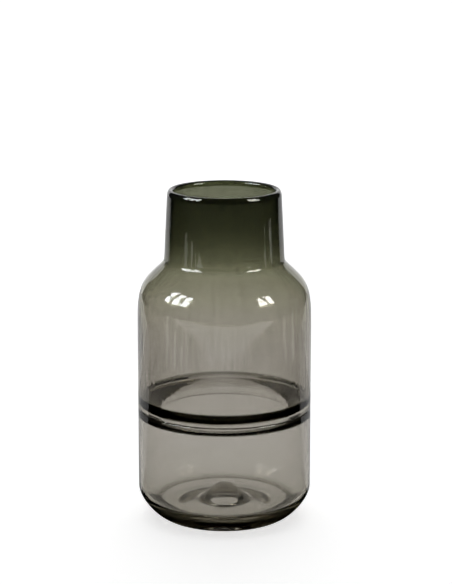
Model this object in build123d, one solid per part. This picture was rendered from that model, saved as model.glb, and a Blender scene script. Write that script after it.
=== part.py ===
from build123d import *
import os
from math import cos, radians, sin

# A mouth-blown smoked glass vase: two cased bubbles joined at the waist.
# Every piece is a body of revolution about +Z. A section is drawn as (radius, height).

# Overall sizes, in millimetres
total_height = 250.0
body_radius = 65.0
rim_radius = 42.5              # outside of the rolled lip
neck_radius = 44.8             # outside, where the neck meets the shoulder

# Heights of the upper bubble's outline
neck_height = 51.0             # from the foot of the neck to the top of the lip
shoulder_height = 57.0         # from the straight wall to the foot of the neck

# The shoulder turns from convex to concave at one point of inflection
turn_height_share = 0.763      # how far up the shoulder that point is
turn_radius_share = 0.555      # how far out it is, from the neck to the body
turn_angle = 43.7              # degrees from upright, there
shoulder_pull = 25.0           # curve handles: at the wall, each side of the turn, at the neck
turn_pull_below = 13.0
turn_pull_above = 12.0
neck_pull = 4.0

# Glass thickness
body_wall = 2.8
neck_wall = 3.6
lip_radius = 2.35
lip_drop = 4.4                 # how far the lip's rounding reaches down outside
smoke_thickness = 0.6          # the coloured glass inside each bubble and over the lip

# The waist, where both bubbles turn in to a lip and are fused
seam_height = 85.0
hole_radius = 47.5
shelf_nose_rise = 2.2          # top of the shelf above the seam, at the hole
shelf_root_rise = 8.4          # and where it meets the upper wall
under_nose_drop = 6.4          # underside of the shelf below the seam, at the hole
under_root_drop = 5.4          # and where it meets the lower wall
nose_round = 3.4               # how far the rounded edge of the hole reaches over each face
fold_round = 1.4               # the tight fold between the shelf and the upper wall
under_fold_round = 2.0         # the softer one below
seam_ease = 0.5                # soft edge each side of the seam, outside

# The base
corner_width = 21.3
corner_height = 23.3
corner_softness = 0.36         # less than ROUND, so the corner is fuller than a bevel but not round
floor_height = 12.0
floor_corner_width = 14.5
floor_corner_height = 13.0
mound_radius = 24.0            # the floor swells over the dimple
mound_height = 12.0
rest_inner_radius = 36.5
kick_height = 5.0              # how far the underside lifts inside the resting ring
rest_edge_share = 0.225        # curve handles of that lift, as shares of its width: at the ring
kick_share = 0.65              # and at the scar

# The scar that the pontil iron's glass leaves round the dimple
scar_radius = 16.5
scar_width = 3.2
scar_depth = 1.0               # how deep the scar's glass is fused into the base
scar_drop = 1.5                # how far it hangs below the lifted underside
dimple_height = 14.0

ROUND = 0.5523                 # handle share that makes a Bezier quarter turn follow an ellipse

lip_centre = total_height - lip_radius
mouth_radius = rim_radius - 2 * lip_radius
neck_start = total_height - neck_height
shoulder_start = neck_start - shoulder_height
turn_direction = (-sin(radians(turn_angle)), cos(radians(turn_angle)))
turn_outward = (cos(radians(turn_angle)), sin(radians(turn_angle)))


def step(point, direction, length):
    """The point that lies the given length from another, along a direction."""
    return (point[0] + direction[0] * length, point[1] + direction[1] * length)


def toward(point, target, share):
    """The point that lies part of the way from one point to another."""
    return (point[0] + (target[0] - point[0]) * share, point[1] + (target[1] - point[1]) * share)


def corner(start, vertex, end, softness=ROUND):
    """A quarter turn from start to end, tangent to both legs of the vertex between them."""
    return Bezier(start, toward(start, vertex, softness), toward(end, vertex, softness), end)


def revolved(edges):
    """One turn of a closed half-section about the vase's axis."""
    return revolve(Plane.XZ * make_face(edges), Axis.Z)


def shoulder(neck_inset, body_inset):
    """The curve from the straight wall up to the foot of the neck, set in from the outside."""
    wall_top = (body_radius - body_inset, shoulder_start)
    neck_foot = (neck_radius - neck_inset, neck_start)
    turn_outside = (neck_radius + turn_radius_share * (body_radius - neck_radius),
                    shoulder_start + turn_height_share * shoulder_height)
    turn = step(turn_outside, turn_outward, -(neck_inset + body_inset) / 2)
    below = Bezier(wall_top, step(wall_top, (0, 1), shoulder_pull),
                   step(turn, turn_direction, -turn_pull_below), turn)
    above = Bezier(turn, step(turn, turn_direction, turn_pull_above),
                   step(neck_foot, (0, -1), neck_pull), neck_foot)
    return [below, above]


def along(point, target, length):
    """The point that lies the given length from one point on the way to another."""
    direction = (Vector(*target) - Vector(*point)).normalized()
    return step(point, tuple(direction), length)


def shelf(root, nose, wall_end, hole_end, fold):
    """One face of the shelf: a fold out of the wall, a slope, and a rounded edge at the hole."""
    fold_end = along(root, nose, fold)
    nose_start = along(nose, root, nose_round)
    return [
        corner(wall_end, root, fold_end),
        Line(fold_end, nose_start),
        corner(nose_start, nose, hole_end),
    ]


def upper_inside(into_glass):
    """The upper bubble's inner face from the mouth to the waist, moved into the glass."""
    wall = body_radius - body_wall + into_glass
    hole = hole_radius + into_glass
    root = (wall, seam_height + shelf_root_rise - into_glass)
    nose = (hole, seam_height + shelf_nose_rise - into_glass)
    wall_end = (wall, root[1] + fold_round + into_glass)
    below, above = shoulder(neck_wall - into_glass, body_wall - into_glass)
    return [
        Line((mouth_radius + into_glass, lip_centre), above @ 1),
        above,
        below,
        Line(below @ 0, wall_end),
        *shelf(root, nose, wall_end, (hole, seam_height), fold_round + into_glass),
    ]


def lower_inside(into_glass):
    """The lower bubble's inner face from the waist to the middle of the floor."""
    wall = body_radius - body_wall + into_glass
    hole = hole_radius + into_glass
    root = (wall, seam_height - under_root_drop + into_glass)
    nose = (hole, seam_height - under_nose_drop + into_glass)
    wall_end = (wall, root[1] - under_fold_round - into_glass)
    floor = floor_height - into_glass
    bend_width = floor_corner_width + into_glass
    bend_height = floor_corner_height + into_glass
    crown = (0, floor + mound_height)
    return [
        *shelf(root, nose, wall_end, (hole, seam_height), under_fold_round + into_glass),
        Line(wall_end, (wall, floor + bend_height)),
        corner((wall, floor + bend_height), (wall, floor), (wall - bend_width, floor)),
        Line((wall - bend_width, floor), (mound_radius, floor)),
        Bezier((mound_radius, floor), (mound_radius / 2, floor),
               (mound_radius / 2, crown[1]), crown),
    ]


def over_lip(into_glass):
    """The rounded top of the lip, from its outside to its inside."""
    outside = (rim_radius - into_glass, total_height - lip_drop)
    inside = (mouth_radius + into_glass, lip_centre)
    top = (rim_radius - lip_radius, total_height - into_glass)
    return [
        corner(outside, (outside[0], top[1]), top),
        corner(top, (inside[0], top[1]), inside),
    ]


def upper_casing():
    """Clear outer glass of the upper bubble: lip, neck, shoulder, wall and half the shelf."""
    below, above = shoulder(0, 0)
    lip_start = (rim_radius, total_height - lip_drop)
    eased = (body_radius, seam_height + seam_ease)
    outside = [
        Line((hole_radius + smoke_thickness, seam_height), (body_radius - seam_ease, seam_height)),
        corner((body_radius - seam_ease, seam_height), (body_radius, seam_height), eased),
        Line(eased, below @ 0),
        below,
        above,
        Line(above @ 1, lip_start),
        Line(lip_start, (rim_radius - smoke_thickness, total_height - lip_drop)),
    ]
    return revolved(outside + over_lip(smoke_thickness) + upper_inside(smoke_thickness))


def upper_smoke_lining():
    """Olive smoke glass over the lip and down inside the upper bubble to the seam."""
    ends = [
        Line((rim_radius, total_height - lip_drop),
             (rim_radius - smoke_thickness, total_height - lip_drop)),
        Line((hole_radius, seam_height), (hole_radius + smoke_thickness, seam_height)),
    ]
    surface = over_lip(0) + upper_inside(0)
    buried = over_lip(smoke_thickness) + upper_inside(smoke_thickness)
    return revolved(surface + buried + ends)


def lower_casing():
    """Clear outer glass of the lower bubble: half the shelf, wall, corner and thick base."""
    eased = (body_radius, seam_height - seam_ease)
    foot = (body_radius - corner_width, 0)
    scar_inner_radius = scar_radius - scar_width
    scar_top = kick_height + scar_depth
    crown = scar_top + dimple_height
    outside = [
        Line((hole_radius + smoke_thickness, seam_height), (body_radius - seam_ease, seam_height)),
        corner((body_radius - seam_ease, seam_height), (body_radius, seam_height), eased),
        Line(eased, (body_radius, corner_height)),
        corner((body_radius, corner_height), (body_radius, 0), foot, corner_softness),
        Line(foot, (rest_inner_radius, 0)),
        Bezier((rest_inner_radius, 0), toward((rest_inner_radius, 0), (scar_radius, 0), rest_edge_share),
               toward((scar_radius, kick_height), (rest_inner_radius, kick_height), kick_share),
               (scar_radius, kick_height)),
        Line((scar_radius, kick_height), (scar_radius, scar_top)),
        Line((scar_radius, scar_top), (scar_inner_radius, scar_top)),
        corner((scar_inner_radius, scar_top), (scar_inner_radius, crown), (0, crown)),
        Line((0, crown), (0, floor_height - smoke_thickness + mound_height)),
    ]
    return revolved(outside + lower_inside(smoke_thickness))


def lower_smoke_lining():
    """Grey smoke glass inside the lower bubble, from the seam to the middle of the floor."""
    ends = [
        Line((hole_radius, seam_height), (hole_radius + smoke_thickness, seam_height)),
        Line((0, floor_height + mound_height), (0, floor_height + mound_height - smoke_thickness)),
    ]
    return revolved(lower_inside(0) + lower_inside(smoke_thickness) + ends)


def pontil_scar():
    """Ring of glass left by the pontil iron, fused into the underside round the dimple."""
    inner = scar_radius - scar_width
    top = kick_height + scar_depth
    bottom = kick_height - scar_drop
    middle = scar_radius - scar_width / 2
    return revolved([
        Line((inner, top), (scar_radius, top)),
        Line((scar_radius, top), (scar_radius, kick_height)),
        corner((scar_radius, kick_height), (scar_radius, bottom), (middle, bottom)),
        corner((middle, bottom), (inner, bottom), (inner, kick_height)),
        Line((inner, kick_height), (inner, top)),
    ])


pieces = {
    "upper_casing": upper_casing(),
    "upper_smoke_lining": upper_smoke_lining(),
    "lower_casing": lower_casing(),
    "lower_smoke_lining": lower_smoke_lining(),
    "pontil_scar": pontil_scar(),
}

os.makedirs("parts", exist_ok=True)
for name, piece in pieces.items():
    export_step(piece, f"parts/{name}.step")
    print(f"{name}: {piece.volume:.0f} mm3")
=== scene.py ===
# %% [markdown]
# # A blown smoked glass vase
# This lesson dresses the measured model of a mouth-blown vase. The vase is two bubbles of glass,
# fused at the waist, where both turn in to form a shelf with a round hole. Each bubble is clear
# glass outside with a thin smoke-coloured layer inside, olive and dense at the neck and neutral
# grey below. The measured model is loaded first and fixes every size. All lengths are in metres.

import math

import bpy
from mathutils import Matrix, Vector


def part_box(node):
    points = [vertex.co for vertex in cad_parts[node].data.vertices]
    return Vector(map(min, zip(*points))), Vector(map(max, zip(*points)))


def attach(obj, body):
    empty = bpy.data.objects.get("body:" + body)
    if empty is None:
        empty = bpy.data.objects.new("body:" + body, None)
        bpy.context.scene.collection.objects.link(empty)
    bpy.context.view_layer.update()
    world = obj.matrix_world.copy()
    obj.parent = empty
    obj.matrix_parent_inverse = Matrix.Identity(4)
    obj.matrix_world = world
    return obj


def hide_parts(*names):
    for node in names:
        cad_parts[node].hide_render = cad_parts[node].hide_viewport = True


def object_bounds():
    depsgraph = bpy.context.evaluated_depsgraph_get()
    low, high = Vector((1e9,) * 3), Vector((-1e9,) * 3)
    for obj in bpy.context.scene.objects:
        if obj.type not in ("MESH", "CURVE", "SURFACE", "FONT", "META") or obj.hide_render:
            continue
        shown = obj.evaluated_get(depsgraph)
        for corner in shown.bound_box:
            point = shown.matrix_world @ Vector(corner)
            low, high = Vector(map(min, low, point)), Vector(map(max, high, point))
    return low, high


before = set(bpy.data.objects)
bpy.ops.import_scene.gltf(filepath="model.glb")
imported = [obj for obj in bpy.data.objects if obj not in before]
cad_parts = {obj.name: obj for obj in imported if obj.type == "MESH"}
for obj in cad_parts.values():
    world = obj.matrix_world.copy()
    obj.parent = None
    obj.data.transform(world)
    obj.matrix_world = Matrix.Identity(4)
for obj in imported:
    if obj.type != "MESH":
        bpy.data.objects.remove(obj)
cad_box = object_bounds()
MM = 0.001
print("measured box:", [[round(v, 4) for v in corner] for corner in cad_box])

# %% [markdown]
# Sizes that the boxes of the measured pieces give are read from them. The others are the design's
# own driving values, in millimetres. Only what the outline needs is repeated here.

# %% Sizes
total_height = cad_box[1][2] / MM
body_radius = min(cad_box[1][0], cad_box[1][1]) / MM
seam_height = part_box("upper_casing")[0][2] / MM
rim_radius = 42.5
neck_radius = 44.8
neck_height = 51.0
shoulder_height = 57.0
body_wall = 2.8
neck_wall = 3.6
lip_radius = 2.35
lip_drop = 4.4
hole_radius = 47.5
floor_height = 12.0
nose_round = 3.4             # how far the rounded edge of the hole reaches over the shelf
ROUND = 0.5523               # handle share of a quarter turn that follows an ellipse
lip_centre = total_height - lip_radius
mouth_radius = rim_radius - 2 * lip_radius
wall_inside = body_radius - body_wall
floor_bend = (14.5, 13.0)              # width and height of the bend from the wall to the floor
floor_radius = wall_inside - floor_bend[0]
print(f"height {total_height:.1f} mm, radius {body_radius:.1f} mm, seam at {seam_height:.1f} mm")

# %% [markdown]
# ## The camera
# A long lens from about 1.6 m, looking down a little. The camera comes first, so that every later
# step can be looked at from the same place.

# %% Camera
def add_camera(place, tilt_down, lens):
    """A camera in front of the vase that looks along +Y and down by a number of degrees."""
    bpy.ops.object.camera_add(location=place, rotation=(math.radians(90 - tilt_down), 0, 0))
    camera = bpy.context.object
    camera.name = "front_camera"
    camera.data.lens = lens
    camera.data.sensor_width = 36
    camera.data.clip_start = 0.05
    return camera


bpy.context.scene.camera = add_camera((0.0012, -1.476, 0.5018), 12.59, 124.98)
scene = bpy.context.scene
scene.view_settings.view_transform = "Standard"
scene.cycles.max_bounces = 64
scene.cycles.transmission_bounces = 64
scene.cycles.glossy_bounces = 32
print("camera at", tuple(round(v, 3) for v in scene.camera.location))

# %% [markdown]
# ## Node helpers
# Materials are node trees. These helpers add a node with some of its values set, and wire it up,
# so that the recipes below stay short.

# %% Node helpers
COLOUR_A, COLOUR_B, COLOUR_OUT = 6, 7, 2      # the colour sockets of a Mix node


def add_node(tree, kind, links=None, **settings):
    """A node of one kind. Settings set its properties, and links gives its inputs, by name."""
    node = tree.nodes.new("ShaderNode" + kind)
    for name, value in settings.items():
        setattr(node, name, value)
    for socket, value in (links or {}).items():
        if isinstance(value, bpy.types.NodeSocket):
            tree.links.new(value, node.inputs[socket])
        else:
            node.inputs[socket].default_value = value
    return node


def calculate(tree, operation, first, second=0.0):
    """The result of a Math node on two inputs, which are sockets or numbers."""
    return add_node(tree, "Math", {0: first, 1: second}, operation=operation).outputs[0]


def fade(tree, value, start, end, low=0.0, high=1.0):
    """A smooth change from one number to another as a value goes from start to end."""
    return add_node(tree, "MapRange", {"Value": value, "From Min": start, "From Max": end,
                                       "To Min": low, "To Max": high},
                    interpolation_type="SMOOTHSTEP").outputs[0]


def tint(tree, factor, colour, by):
    """A colour multiplied by another where the factor is one."""
    mix = add_node(tree, "Mix", {"Factor": factor, COLOUR_A: colour, COLOUR_B: by},
                   data_type="RGBA", blend_type="MULTIPLY")
    return mix.outputs[COLOUR_OUT]


def new_group(name, inputs, outputs):
    """A node group with named number inputs, and outputs given as name: socket type."""
    group = bpy.data.node_groups.new(name, "ShaderNodeTree")
    for label, value in inputs.items():
        socket = group.interface.new_socket(label, in_out="INPUT", socket_type="NodeSocketFloat")
        socket.default_value = value
    for label, kind in outputs.items():
        group.interface.new_socket(label, in_out="OUTPUT", socket_type=kind)
    return group, group.nodes.new("NodeGroupInput"), group.nodes.new("NodeGroupOutput")


def spots(tree, vector, scale, detail, roughness=0.5):
    """Soft random spots, from 0 to 1, at a scale per metre."""
    return add_node(tree, "TexNoise", {"Vector": vector, "Scale": scale, "Detail": detail,
                                       "Roughness": roughness}).outputs["Fac"]


def round_the_axis(tree, place, upright):
    """The way round the axis and the distance from it. Heights count for little, so what is drawn
    with the first is long and upright."""
    flat = add_node(tree, "VectorMath", {0: place, 1: (1, 1, 0)}, operation="MULTIPLY").outputs[0]
    reach = add_node(tree, "VectorMath", {0: flat}, operation="LENGTH").outputs["Value"]
    way = add_node(tree, "VectorMath", {0: flat}, operation="NORMALIZE").outputs[0]
    up = add_node(tree, "VectorMath", {0: place, 1: (0, 0, upright)}, operation="MULTIPLY").outputs[0]
    return add_node(tree, "VectorMath", {0: way, 1: up}, operation="ADD").outputs[0], reach


def place_group(tree, group, values):
    """The group as a node in a material, with its inputs set."""
    node = add_node(tree, "Group", node_tree=group)
    for label, value in values.items():
        node.inputs[label].default_value = value
    return node


def new_material(name):
    """A material with its tree and its Principled shader."""
    material = bpy.data.materials.new(name)
    material.use_nodes = True
    return material, material.node_tree, material.node_tree.nodes["Principled BSDF"]


# %% [markdown]
# ## How blown glass is uneven
# A blower turns the glass on an iron and pulls it, so its surface has long upright ripples, wide
# soft waves and a few small dimples. A group makes a height from three noises. It reads Object
# coordinates, and turns each point into its direction round the axis, so a ripple runs up the wall
# and has no seam.

# %% Group: blown ripple
def make_ripple_group():
    group, given, result = new_group("Blown ripple", {"Upright": 1.0, "Waves": 1.0, "Dimples": 1.0},
                                     {"Height": "NodeSocketFloat"})
    place = group.nodes.new("ShaderNodeTexCoord").outputs["Object"]
    round_way, _ = round_the_axis(group, place, 2.6)
    noises = {"Upright": spots(group, round_way, 9.0, 2.5, 0.62),
              "Waves": spots(group, place, 21.0, 1.0),
              "Dimples": spots(group, place, 90.0, 1.0)}
    height = 0.0
    for label, noise in noises.items():
        height = calculate(group, "ADD", height, calculate(group, "MULTIPLY", noise, given.outputs[label]))
    group.links.new(height, result.inputs["Height"])
    return group


ripple = make_ripple_group()
print("group:", ripple.name)

# %% [markdown]
# ## How the smoke layer changes
# The smoke colour is densest at the neck. Round the floor, in the fold where the shelf meets the
# wall and at the edge of the hole, the layer is darker still: partly colour gathered there, and
# partly painted shade for the dark bands that these bends show. The group puts out the share of
# light that the layer lets through beyond its own even tone, from the height and the distance from
# the axis, with faint upright streaks.

# %% Group: smoke depth
nose_tone_and_shade = (0.55, 0.55, 0.52, 1)         # light let through at the edge of the hole: the gathered layer, darkened more as painted shade
fold_tone_and_shade = (0.42, 0.42, 0.38, 1)         # in the fold at the wall: the bunched layer, and painted shade in the crease
floor_tone_and_shade = (0.40, 0.39, 0.34, 1)        # round the floor: a thicker layer, and painted shade in the bend
streak_tone = (0.35, 0.36, 0.28, 1)       # in an upright streak
lip_tone = (2.4, 2.4, 2.4, 1)             # the lip is drawn out thin, so it lets more through


def make_smoke_group():
    group, given, result = new_group(
        "Smoke depth and shade", {"Fold height": 0.1, "Fold tone and shade": 1.0, "Nose tone and shade": 1.0, "Streaks": 0.1,
                        "Floor tone and shade": 0.0},
        {"Height share": "NodeSocketFloat", "Layer": "NodeSocketColor"})
    place = group.nodes.new("ShaderNodeTexCoord").outputs["Object"]
    height = add_node(group, "SeparateXYZ", {0: place}).outputs["Z"]
    round_way, reach = round_the_axis(group, place, 1.4)

    def product(*factors):
        total = factors[0]
        for factor in factors[1:]:
            total = calculate(group, "MULTIPLY", total, factor)
        return total

    # Where the layer is gathered at the hole in the shelf, darkened more as painted shade on its edge
    near_hole = fade(group, reach, (hole_radius + 7) * MM, (hole_radius + 0.6) * MM)
    at_waist = add_node(group, "Math", {0: height, 1: seam_height * MM, 2: 20 * MM},
                        operation="COMPARE").outputs[0]
    nose = product(near_hole, at_waist, given.outputs["Nose tone and shade"])
    # Where it is bunched in the fold at the wall, with painted shade in the crease
    above_fold = calculate(group, "SUBTRACT", height, given.outputs["Fold height"])
    from_fold = calculate(group, "ABSOLUTE", above_fold)
    fold = product(fade(group, from_fold, 1.7 * MM, 0.4 * MM), given.outputs["Fold tone and shade"])
    # Where it thickens round the floor, with painted shade in the bend to the wall
    from_ring = calculate(group, "SUBTRACT", reach, floor_radius * MM)
    floor_ring_and_shade = product(fade(group, from_ring, 0.0, 0.6 * MM), fade(group, from_ring, 9.5 * MM, 0.0),
                   fade(group, height, 30 * MM, 22 * MM), given.outputs["Floor tone and shade"])
    # Faint upright streaks, fewer below the shoulder
    noise = spots(group, round_way, 16.0, 4.0, 0.7)
    streak = product(fade(group, noise, 0.45, 0.75), given.outputs["Streaks"],
                     fade(group, height, 170 * MM, 210 * MM, 0.3, 1.0))
    # Where it is drawn thin over the lip
    on_lip = product(fade(group, reach, 38.5 * MM, 40.5 * MM), fade(group, height, 243 * MM, 245.5 * MM))
    layer = (1, 1, 1, 1)
    for factor, tone in [(nose, nose_tone_and_shade), (fold, fold_tone_and_shade), (on_lip, lip_tone), (floor_ring_and_shade, floor_tone_and_shade),
                         (streak, streak_tone)]:
        layer = tint(group, factor, layer, tone)
    group.links.new(layer, result.inputs["Layer"])
    group.links.new(calculate(group, "DIVIDE", height, total_height * MM), result.inputs["Height share"])
    return group


smoke = make_smoke_group()
print("group:", smoke.name)

# %% [markdown]
# ## The glass materials
# Clear glass is a Principled shader that only transmits, with the index of soda-lime glass. The
# ripple goes to its normal. The smoke layer lies inside the clear glass, so its own surface must
# not bend light: its index is 1, and it only darkens. Its even tone is absorption, so light that
# crosses it at a slant is darkened more, as in the real thing.

# %% Clear glass
GLASS, STRAIGHT = 1.5, 1.0              # the index of soda-lime glass, and one that bends no light
casing_tone = (0.745, 0.735, 0.72)      # what one wall of the outer glass lets through


def new_glass(name, bending):
    """A material that light passes through. Bending is its index: 1 leaves light straight."""
    material, tree, shader = new_material(name)
    shader.inputs["Roughness"].default_value = 0.0
    shader.inputs["Transmission Weight"].default_value = 1.0
    shader.inputs["IOR"].default_value = bending
    return material, tree, shader


def clear_glass(name, upright, waves, dimples):
    material, tree, shader = new_glass(name, GLASS)
    shader.inputs["Base Color"].default_value = (*casing_tone, 1)
    height = place_group(tree, ripple, {"Upright": upright, "Waves": waves, "Dimples": dimples})
    bump = add_node(tree, "Bump", {"Height": height.outputs["Height"], "Strength": 1.0, "Distance": MM})
    tree.links.new(bump.outputs["Normal"], shader.inputs["Normal"])
    return material


def fused_glass(name):
    """Glass for a face that is fused to the next piece: light passes straight through."""
    material, tree, shader = new_glass(name, STRAIGHT)
    grain = spots(tree, tree.nodes.new("ShaderNodeTexCoord").outputs["Object"], 40.0, 2.0)
    colour = tint(tree, fade(tree, grain, 0.4, 0.7), (1, 1, 1, 1), (0.97, 0.965, 0.95, 1))
    tree.links.new(colour, shader.inputs["Base Color"])
    return material


upper_clear = clear_glass("upper_clear_glass", 0.16, 0.5, 0.010)
lower_clear = clear_glass("lower_clear_glass", 0.08, 0.4, 0.008)
fused = fused_glass("fused_seam_glass")
print("clear glass:", upper_clear.name, lower_clear.name)

# %% Smoke glass
even_tone = (0.594, 0.574, 0.531)      # what one crossing of an even layer lets through
clear_wall = (0.71, 0.70, 0.685)       # the clear wall's part in the tones below
layer_depth = 0.55 * MM
absorption = 1300.0                    # density that the absorption colour is worked out for


def smoke_glass(name, tones, slant_share, values):
    """Smoke glass. The tones are (height in mm, share of light let through), bottom to top, for
    the layer and the clear wall together.
    The slant share says how much of the even tone is absorption, which deepens at a slant."""
    material, tree, shader = new_glass(name, STRAIGHT)
    depth = place_group(tree, smoke, values)
    ramp = add_node(tree, "ValToRGB", {"Fac": depth.outputs["Height share"]})
    stops = ramp.color_ramp.elements
    stops.remove(stops[-1])
    for index, (height, share) in enumerate(tones):
        stop = stops[0] if index == 0 else stops.new(height / total_height)
        stop.position = height / total_height
        stop.color = (*(min(1.0, part / wall / even ** slant_share)
                        for part, wall, even in zip(share, clear_wall, even_tone)), 1)
    colour = tint(tree, 1.0, ramp.outputs["Color"], depth.outputs["Layer"])
    tree.links.new(colour, shader.inputs["Base Color"])
    kept = tuple(1 + slant_share * math.log(even) / layer_depth / absorption for even in even_tone)
    body = add_node(tree, "VolumeAbsorption", {"Color": (*kept, 1), "Density": absorption})
    tree.links.new(body.outputs[0], tree.nodes["Material Output"].inputs["Volume"])
    return material


olive_tones = [(85, (0.71, 0.69, 0.64)), (106, (0.70, 0.67, 0.61)), (138, (0.62, 0.60, 0.53)),
               (160, (0.49, 0.485, 0.42)), (180, (0.43, 0.425, 0.35)), (192, (0.37, 0.37, 0.29)),
               (203, (0.23, 0.235, 0.17)), (213, (0.16, 0.165, 0.112)), (230, (0.118, 0.123, 0.082)),
               (250, (0.107, 0.113, 0.074))]
grey_tones = [(0, (0.52, 0.50, 0.455)), (20, (0.58, 0.56, 0.505)), (40, (0.71, 0.70, 0.65))]
olive_smoke = smoke_glass("olive_smoke_glass", olive_tones, 0.7,
                          {"Fold height": 0.0936, "Nose tone and shade": 0.2, "Streaks": 0.3})
grey_smoke = smoke_glass("grey_smoke_glass", grey_tones, 0.45,
                         {"Fold height": 0.0796, "Fold tone and shade": 0.6, "Nose tone and shade": 0.2,
                          "Streaks": 0.1, "Floor tone and shade": 0.9})
print("smoke glass:", olive_smoke.name, grey_smoke.name)

# %% [markdown]
# ## Drawing an outline
# Every piece of the vase is turned about its axis, so it starts as half of its section. It is
# drawn as with the pen tool: a Bezier curve in the XZ plane, where X is the distance from the
# axis. Each edge is (start, handle, handle, end), in millimetres. A quarter turn whose handles
# reach 0.5523 of the way to the corner follows an ellipse.

# %% Outline helpers
TURN_ANGLE = 43.7            # degrees from upright, where the shoulder turns from convex to concave
TURN_OUT, TURN_UP = 0.555, 0.763      # where that is, as shares of the way to the body and up
PULL_WALL, PULL_BELOW, PULL_ABOVE, PULL_NECK = 25, 13, 12, 4      # lengths of the curve's handles


def toward(point, target, share):
    return (point[0] + (target[0] - point[0]) * share, point[1] + (target[1] - point[1]) * share)


def along(point, target, length):
    return toward(point, target, length / math.dist(point, target))


def straight(start, end):
    return (start, toward(start, end, 1 / 3), toward(start, end, 2 / 3), end)


def corner(start, vertex, end, softness=ROUND):
    return (start, toward(start, vertex, softness), toward(end, vertex, softness), end)


def backwards(edges):
    return [edge[::-1] for edge in reversed(edges)]


def shoulder(neck_inset, body_inset):
    """The outline from the straight wall up to the foot of the neck, set in from the outside."""
    start, top = total_height - neck_height - shoulder_height, total_height - neck_height
    angle = math.radians(TURN_ANGLE)
    outward = (math.cos(angle), math.sin(angle))
    upward = (-outward[1], outward[0])
    inset = (neck_inset + body_inset) / 2
    turn = (neck_radius + TURN_OUT * (body_radius - neck_radius) - inset * outward[0],
            start + TURN_UP * shoulder_height - inset * outward[1])
    wall_top, neck_foot = (body_radius - body_inset, start), (neck_radius - neck_inset, top)
    below = (turn[0] - PULL_BELOW * upward[0], turn[1] - PULL_BELOW * upward[1])
    above = (turn[0] + PULL_ABOVE * upward[0], turn[1] + PULL_ABOVE * upward[1])
    return [(wall_top, (wall_top[0], start + PULL_WALL), below, turn),
            (turn, above, (neck_foot[0], top - PULL_NECK), neck_foot)]


def shelf(root_height, nose_height, fold, end_height, depth):
    """One face of the shelf, from the wall to the hole: a fold, a slope and a rounded edge."""
    side = 1 if root_height > end_height else -1
    root = (wall_inside + depth, root_height - side * depth)
    nose = (hole_radius + depth, nose_height - side * depth)
    wall_end = (root[0], root[1] + side * (fold + depth))
    fold_end, nose_start = along(root, nose, fold + depth), along(nose, root, nose_round)
    return [corner(wall_end, root, fold_end), straight(fold_end, nose_start),
            corner(nose_start, nose, (nose[0], end_height))]


# %% [markdown]
# ## From the outline to a piece
# The curve is converted to a mesh, spun once round the axis, and its start and end are merged.
# Spinning can turn a shape inside out, so its normals are recalculated after that.

# %% Spin helpers
TURNS = 176          # steps of one full turn
FINENESS = 18        # points along each edge of an outline
GAP = 0.01           # between two pieces that are fused on the real vase, in mm
SAG_FRONT = 1.3      # how far the edge of the hole lies low in front and high behind, in mm
SAG_LEFT = 0.5       # and low on the left
SAG_WIDTH = 12 * MM  # how far in from the wall the sag has grown to its full depth
SAG_HEIGHT = 14 * MM # how far from the seam it has died out


def draw_outline(name, edges, closed):
    bpy.ops.object.select_all(action="DESELECT")
    bpy.ops.curve.primitive_bezier_curve_add(enter_editmode=False, location=(0, 0, 0))
    curve = bpy.context.object
    curve.name = name
    curve.data.resolution_u = FINENESS
    spline = curve.data.splines[0]
    spline.use_cyclic_u = closed
    spline.bezier_points.add(len(edges) + (0 if closed else 1) - 2)
    starts = [edge[0] for edge in edges] + ([] if closed else [edges[-1][3]])
    for index, (point, place) in enumerate(zip(spline.bezier_points, starts)):
        point.handle_left_type = point.handle_right_type = "FREE"
        before = edges[index - 1][2] if (closed or index > 0) else place
        after = edges[index][1] if index < len(edges) else place
        point.co = (place[0] * MM, 0, place[1] * MM)
        point.handle_left = (before[0] * MM, 0, before[1] * MM)
        point.handle_right = (after[0] * MM, 0, after[1] * MM)
    bpy.ops.object.convert(target="MESH")
    return bpy.context.object


def spin_piece(name, edges, closed=False):
    """A closed piece of glass turned from its outline."""
    piece = draw_outline(name, edges, closed)
    bpy.ops.object.mode_set(mode="EDIT")
    bpy.ops.mesh.select_all(action="SELECT")
    bpy.ops.mesh.spin(steps=TURNS, angle=math.tau, center=(0, 0, 0), axis=(0, 0, 1))
    bpy.ops.mesh.select_all(action="SELECT")
    bpy.ops.mesh.remove_doubles(threshold=0.000002)
    bpy.ops.mesh.normals_make_consistent(inside=False)
    bpy.ops.object.mode_set(mode="OBJECT")
    bpy.ops.object.shade_smooth_by_angle(angle=math.radians(40))
    piece.data.name = name
    print(f"{name}: {len(piece.data.vertices)} points")
    return piece


def dress(piece, material, body, slot, *nodes):
    """The piece gets its material, rides on its body and stands for measured nodes."""
    piece.data.materials.clear()
    piece.data.materials.append(material)
    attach(piece, body)
    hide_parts(*nodes)


def settle(piece):
    """Hand-blown unevenness: the edge of the hole sags to the front and the left."""
    for point in piece.data.vertices:
        x, y, z = point.co
        inward = min(1.0, max(0.0, (wall_inside * MM - math.hypot(x, y)) / SAG_WIDTH))
        waist = max(0.0, 1 - abs(z - seam_height * MM) / SAG_HEIGHT) * inward ** 2 * (3 - 2 * inward)
        point.co.z += waist * (SAG_FRONT * y + SAG_LEFT * x) / (hole_radius * MM) * MM


def fuse_faces(piece, height):
    """Faces that lie flat at a height are fused to the next piece, so they bend no light."""
    piece.data.materials.append(fused)
    for face in piece.data.polygons:
        if abs(face.center.z / MM - height) < GAP / 2 and abs(face.normal.z) > 0.99:
            face.material_index = 1


# %% [markdown]
# ## The upper bubble
# Its outline runs from the seam up the wall, over the shoulder, up the neck and over the lip, then
# back down the inside to the shelf and out along the seam. The lip is rounded, as the fire leaves it.

# %% Upper glass
SEAM_EASE = 0.8                       # soft edge each side of the seam, outside
SHELF_ROOT, SHELF_NOSE = 8.4, 2.2     # top of the shelf above the seam, at the wall and at the hole
upper_seam = seam_height + GAP
lower_seam = seam_height - GAP


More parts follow.
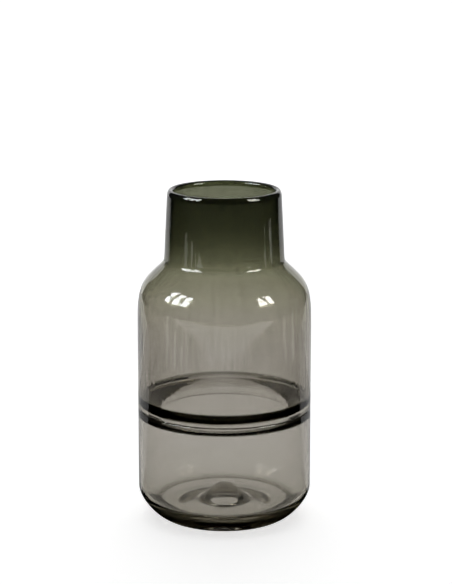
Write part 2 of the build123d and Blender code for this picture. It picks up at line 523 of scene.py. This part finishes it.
def lip_over(depth=0.0):
    """The top of the lip from its outside to its inside, at a depth under the face."""
    outside, inside = (rim_radius - depth, total_height - lip_drop), (mouth_radius + depth, lip_centre)
    top = (rim_radius - lip_radius, total_height - depth)
    return [corner(outside, (outside[0], top[1]), top), corner(top, (inside[0], top[1]), inside)]


def upper_inside(depth=0.0):
    """The inner face from the mouth down to the hole in the shelf, at a depth under it."""
    below, above = shoulder(neck_wall - depth, body_wall - depth)
    faces = shelf(seam_height + SHELF_ROOT, seam_height + SHELF_NOSE, 1.4, upper_seam, depth)
    return [straight((mouth_radius + depth, lip_centre), above[3]), above[::-1], below[::-1],
            straight(below[0], faces[0][0]), *faces]


def upper_outside():
    """The outer face from the seam up to the lip."""
    below, above = shoulder(0, 0)
    eased = (body_radius, upper_seam + SEAM_EASE)
    return [corner((body_radius - SEAM_EASE, upper_seam), (body_radius, upper_seam), eased),
            straight(eased, below[0]), below, above,
            straight(above[3], (rim_radius, total_height - lip_drop))]


seam_face = straight((hole_radius, upper_seam), (body_radius - SEAM_EASE, upper_seam))
upper_outline = upper_outside() + lip_over() + upper_inside() + [seam_face]
upper_glass = spin_piece("upper_glass", upper_outline, closed=True)
dress(upper_glass, upper_clear, "root", "clear_glass_upper", "upper_casing")
fuse_faces(upper_glass, upper_seam)
settle(upper_glass)

# %% [markdown]
# ## The lower bubble
# The same kind of outline, but it ends on the axis twice: once on the dome in the middle of the
# floor, and once in the dimple under it. The pocket round the dimple holds the pontil scar.

# %% Lower glass
CORNER_WIDTH, CORNER_HEIGHT, CORNER_SOFTNESS = 21.3, 23.3, 0.36
UNDER_ROOT, UNDER_NOSE = 5.4, 6.4     # underside of the shelf below the seam, at the wall and the hole
MOUND_RADIUS, MOUND_HEIGHT = 24.0, 12.0
foot = (body_radius - CORNER_WIDTH, 0)
corner_top = (body_radius, CORNER_HEIGHT)
rest_inner = (36.5, 0)
kick = 5.0                            # how far the underside lifts inside the resting ring
kick_handles = (29.5, kick), (32, 0)
scar_outer, scar_inner = 16.5, 13.3
pocket_top = kick + 1.0
dimple_top = pocket_top + 14.0


def lower_inside(depth=0.0):
    """The inner face from the hole in the shelf down to the middle of the floor."""
    faces = backwards(shelf(seam_height - UNDER_ROOT, seam_height - UNDER_NOSE, 2.0, lower_seam, depth))
    wall, floor = wall_inside + depth, floor_height - depth
    bend_top, bend_end = (wall, floor_height + floor_bend[1]), (floor_radius, floor)
    mound, crown = (MOUND_RADIUS, floor), (0, floor + MOUND_HEIGHT)
    return [*faces, straight(faces[-1][3], bend_top), corner(bend_top, (wall, floor), bend_end),
            straight(bend_end, mound),
            (mound, (MOUND_RADIUS / 2, floor), (MOUND_RADIUS / 2, crown[1]), crown)]


def lower_outside():
    """The outer face from the dimple under the base, out and up to the seam."""
    kick_start = (scar_outer, kick)
    eased = (body_radius, lower_seam - SEAM_EASE)
    return [corner((0, dimple_top), (scar_inner, dimple_top), (scar_inner, pocket_top)),
            straight((scar_inner, pocket_top), (scar_outer, pocket_top)),
            straight((scar_outer, pocket_top), kick_start),
            (kick_start, *kick_handles, rest_inner),
            straight(rest_inner, foot),
            corner(foot, (body_radius, 0), corner_top, CORNER_SOFTNESS),
            straight(corner_top, eased),
            corner(eased, (body_radius, lower_seam), (body_radius - SEAM_EASE, lower_seam)),
            straight((body_radius - SEAM_EASE, lower_seam), (hole_radius, lower_seam))]


lower_glass = spin_piece("lower_glass", lower_outside() + lower_inside())
dress(lower_glass, lower_clear, "root", "clear_glass_lower", "lower_casing")
fuse_faces(lower_glass, lower_seam)
settle(lower_glass)

# %% [markdown]
# ## The smoke layers
# Each layer is a thin closed shell just under the inner face. Its outline is the inner face drawn
# twice, at two depths in the glass: down along the first and back along the second. The upper
# layer also wraps over the lip, where the fire-polished rim pulled the colour over.

# %% Smoke layers
SKIN = 0.05          # clear glass left over the layer, in mm
LAYER = 0.60         # the layer's far side, from the face


def layer_outline(face, on_axis):
    """Down one depth of a face and back along the other. A layer that ends on the axis is open."""
    near, far = face(SKIN), backwards(face(LAYER))
    if on_axis:
        return far + [straight(far[-1][3], near[0][0])] + near
    return near + [straight(near[-1][3], far[0][0])] + far + [straight(far[-1][3], near[0][0])]


def upper_face(depth):
    return lip_over(depth) + upper_inside(depth)


upper_layer = spin_piece("upper_smoke", layer_outline(upper_face, False), closed=True)
dress(upper_layer, olive_smoke, "root", "olive_smoke_glass", "upper_smoke_lining")
settle(upper_layer)
lower_layer = spin_piece("lower_smoke", layer_outline(lower_inside, True))
dress(lower_layer, grey_smoke, "root", "grey_smoke_glass", "lower_smoke_lining")
settle(lower_layer)

# %% [markdown]
# ## The pontil scar
# The iron that held the base leaves a broken ring of glass round the dimple.

# %% Pontil scar
SCAR_GAP = 0.03      # between the scar and its pocket, in mm
SCAR_DROP = 1.5      # how far it hangs below the lifted underside


def scar_glass(name):
    material, tree, shader = new_material(name)
    shader.inputs["Transmission Weight"].default_value = 1.0
    shader.inputs["IOR"].default_value = GLASS
    place = tree.nodes.new("ShaderNodeTexCoord").outputs["Object"]
    grit = spots(tree, place, 420.0, 4.0)
    colour = tint(tree, fade(tree, grit, 0.4, 0.7), (0.80, 0.79, 0.73, 1), (0.45, 0.44, 0.38, 1))
    tree.links.new(colour, shader.inputs["Base Color"])
    tree.links.new(fade(tree, grit, 0.35, 0.7, 0.02, 0.35), shader.inputs["Roughness"])
    bump = add_node(tree, "Bump", {"Height": grit, "Strength": 1.0, "Distance": 0.3 * MM})
    tree.links.new(bump.outputs["Normal"], shader.inputs["Normal"])
    return material


def scar_outline():
    inner, outer = scar_inner + SCAR_GAP, scar_outer - SCAR_GAP
    top, bottom, middle = pocket_top - SCAR_GAP, kick - SCAR_DROP, (scar_inner + scar_outer) / 2
    return [straight((inner, top), (outer, top)), straight((outer, top), (outer, kick)),
            corner((outer, kick), (outer, bottom), (middle, bottom)),
            corner((middle, bottom), (inner, bottom), (inner, kick)),
            straight((inner, kick), (inner, top))]


scar = spin_piece("pontil_ring", scar_outline(), closed=True)
dress(scar, scar_glass("scar_glass"), "root", "scar_glass", "pontil_scar")

# %% [markdown]
# ## The stage
# Smoked glass is shown by what stands round it. A white table and a white backdrop behind the vase
# shine through it. Cards lie on the table and are seen only in reflections. A dark one in front
# keeps the front of the glass deep, and grey ones behind soften the white edges that the table
# makes. Two windows with bars make the highlights.

# %% Table and backdrop
def stage_material(name, glow=0.0):
    material, tree, shader = new_material(name)
    shader.inputs["Base Color"].default_value = (0.85, 0.85, 0.85, 1)
    shader.inputs["Roughness"].default_value = 0.9
    shader.inputs["Specular IOR Level"].default_value = 0.1
    if glow:
        shader.inputs["Emission Color"].default_value = (1, 1, 1, 1)
        shader.inputs["Emission Strength"].default_value = glow
    return material


def add_sheet(name, place, size, material, turned=(0, 0, 0)):
    bpy.ops.object.select_all(action="DESELECT")
    bpy.ops.mesh.primitive_plane_add(size=1, location=place, rotation=turned)
    sheet = bpy.context.object
    sheet.name = name
    sheet.scale = (*size, 1)
    sheet.data.materials.append(material)
    return sheet


add_sheet("table", (0, 0.35, -0.0002), (2.6, 3.2), stage_material("table_white", 0.7))
add_sheet("backdrop", (0, 1.95, 1.5), (2.6, 3.0), stage_material("backdrop_white", 0.52),
          (math.pi / 2, 0, 0))

# %% Dark cards
def card_material(name, share, near, far):
    """Black that covers a share of what lies under it, and fades to clear from far to near."""
    material, tree, shader = new_material(name)
    tree.nodes.remove(shader)
    place = tree.nodes.new("ShaderNodeTexCoord").outputs["Object"]
    depth = add_node(tree, "SeparateXYZ", {0: place}).outputs["Y"]
    black = add_node(tree, "BsdfDiffuse", {"Color": (0, 0, 0, 1)})
    clear = add_node(tree, "BsdfTransparent")
    mix = add_node(tree, "MixShader", {0: fade(tree, depth, near, far, 0, share),
                                       1: clear.outputs[0], 2: black.outputs[0]})
    tree.links.new(mix.outputs[0], tree.nodes["Material Output"].inputs["Surface"])
    return material


def only_reflected(mesh):
    """The mesh as a stage object that only reflections see."""
    item = bpy.data.objects.new(mesh.name, mesh)
    scene.collection.objects.link(item)
    item.visible_camera = item.visible_diffuse = item.visible_shadow = item.visible_transmission = False


def add_card(name, half, height, material):
    """A card that only reflections see. Half is its outline at positive X, and the rest mirrors it."""
    edge = half + [(-x, y) for x, y in reversed(half) if x > 0]
    mesh = bpy.data.meshes.new(name)
    mesh.from_pydata([(x, y, height) for x, y in edge], [], [tuple(range(len(edge)))])
    mesh.materials.append(material)
    only_reflected(mesh)


add_card("dark_card", [(0, 0), (0.62, 0.26), (0.8, 0.6), (2.2, 2.4), (2.2, -1.6)], -0.0001,
         card_material("card_black", 1.0, -0.60, -0.47))
add_card("side_card", [(0, 1.9), (2.2, 1.9), (2.2, -0.1), (0, -0.1)], -0.00015,
         card_material("card_grey", 0.45, -0.2, -0.1))
add_card("foot_card", [(0, 0.34), (1.2, 0.34), (1.2, -0.1), (0, -0.1)], -0.00012,
         card_material("card_near", 0.35, -0.2, -0.1))

# %% [markdown]
# Strips of light on the table, seen only in reflections, draw the long upright streaks that a
# curved wall makes of a bright thing beside it.

# %% Light strips
STRIP_REACH = (0.55, 1.9)      # from the vase. Nearer than this they would cross the waist
STRIP_HEIGHT = 0.0002          # just over the table


def add_strip(azimuth, width, strength):
    """A bright wedge on the table, in a direction from the vase, both in degrees."""
    material, tree, shader = new_material(f"strip_light_{azimuth}")
    shader.inputs["Base Color"].default_value = (0, 0, 0, 1)
    shader.inputs["Emission Color"].default_value = (1, 1, 1, 1)
    shader.inputs["Emission Strength"].default_value = strength
    sides = [math.radians(azimuth - width / 2), math.radians(azimuth + width / 2)]
    near, far = STRIP_REACH
    ends = [(near, sides[0]), (far, sides[0]), (far, sides[1]), (near, sides[1])]
    corners = [(reach * math.sin(side), -reach * math.cos(side), STRIP_HEIGHT) for reach, side in ends]
    mesh = bpy.data.meshes.new(material.name)
    mesh.from_pydata(corners, [], [(0, 1, 2, 3)])
    mesh.materials.append(material)
    only_reflected(mesh)


for azimuth, width, strength in [(-48, 3, 0.7), (-55, 2, 1.0), (-64, 4, 0.9), (-77, 5, 0.7),
                                 (84, 4, 0.7), (98, 5, 1.0)]:
    add_strip(azimuth, width, strength)

# %% [markdown]
# The world is white to the camera and nearly black to the glass. A wide panel overhead lights the
# table, and reflections don't see it. The windows do the opposite: they are seen in the glass as
# bright panes, and don't light the table.

# %% World and lights
world = bpy.data.worlds.new("studio")
scene.world = world
world.use_nodes = True
background = world.node_tree.nodes["Background"]
seen = world.node_tree.nodes.new("ShaderNodeLightPath").outputs["Is Camera Ray"]
blend = add_node(world.node_tree, "Mix", {"Factor": seen, COLOUR_A: (0.02, 0.02, 0.02, 1),
                                          COLOUR_B: (1, 1, 1, 1)}, data_type="RGBA")
world.node_tree.links.new(blend.outputs[COLOUR_OUT], background.inputs["Color"])


def add_area(name, place, target, size, power, colour=(1, 1, 1)):
    bpy.ops.object.light_add(type="AREA", location=place)
    lamp = bpy.context.object
    lamp.name = name
    lamp.data.shape = "RECTANGLE"
    lamp.data.size, lamp.data.size_y = size
    lamp.data.energy = power
    lamp.data.color = colour
    lamp.rotation_euler = (Vector(target) - Vector(place)).to_track_quat("-Z", "Y").to_euler()
    print(f"{name}: {power:.0f} W")
    return lamp


overhead = add_area("overhead", (0, 0.3, 2.6), (0, 0.3, 0), (3, 3.4), 30)
overhead.visible_glossy = overhead.visible_transmission = False


PANE_SHARE = (0.66, 0.8)              # glass in each pane's width and height, and the rest is bars
vase_middle = Vector((0, 0, 0.15))


def add_window(name, azimuth, elevation, distance, size, panes, power, colour):
    """A window seen from the vase in a direction, as a grid of panes with dark bars between."""
    around, up = math.radians(azimuth), math.radians(elevation)
    direction = (math.sin(around) * math.cos(up), -math.cos(around) * math.cos(up), math.sin(up))
    middle = Vector(direction) * distance
    across = Vector((math.cos(around), math.sin(around), 0))
    above = Vector((0, 0, 1))
    columns, rows = panes
    pane = (size[0] / columns, size[1] / rows)
    for column in range(columns):
        for row in range(rows):
            place = (middle + across * pane[0] * (column - (columns - 1) / 2)
                     + above * pane[1] * (row - (rows - 1) / 2) + vase_middle)
            lit = (pane[0] * PANE_SHARE[0], pane[1] * PANE_SHARE[1])
            lamp = add_area(f"{name}_{column}_{row}", place, place - middle, lit,
                            power / (columns * rows), colour)
            lamp.visible_diffuse = False


add_window("left_window", -71, 31, 2.2, (1.5, 1.3), (3, 2), 60, (0.93, 0.96, 1.0))
add_window("right_window", 62, 31, 2.2, (0.9, 1.0), (2, 2), 32, (1.0, 0.98, 0.93))
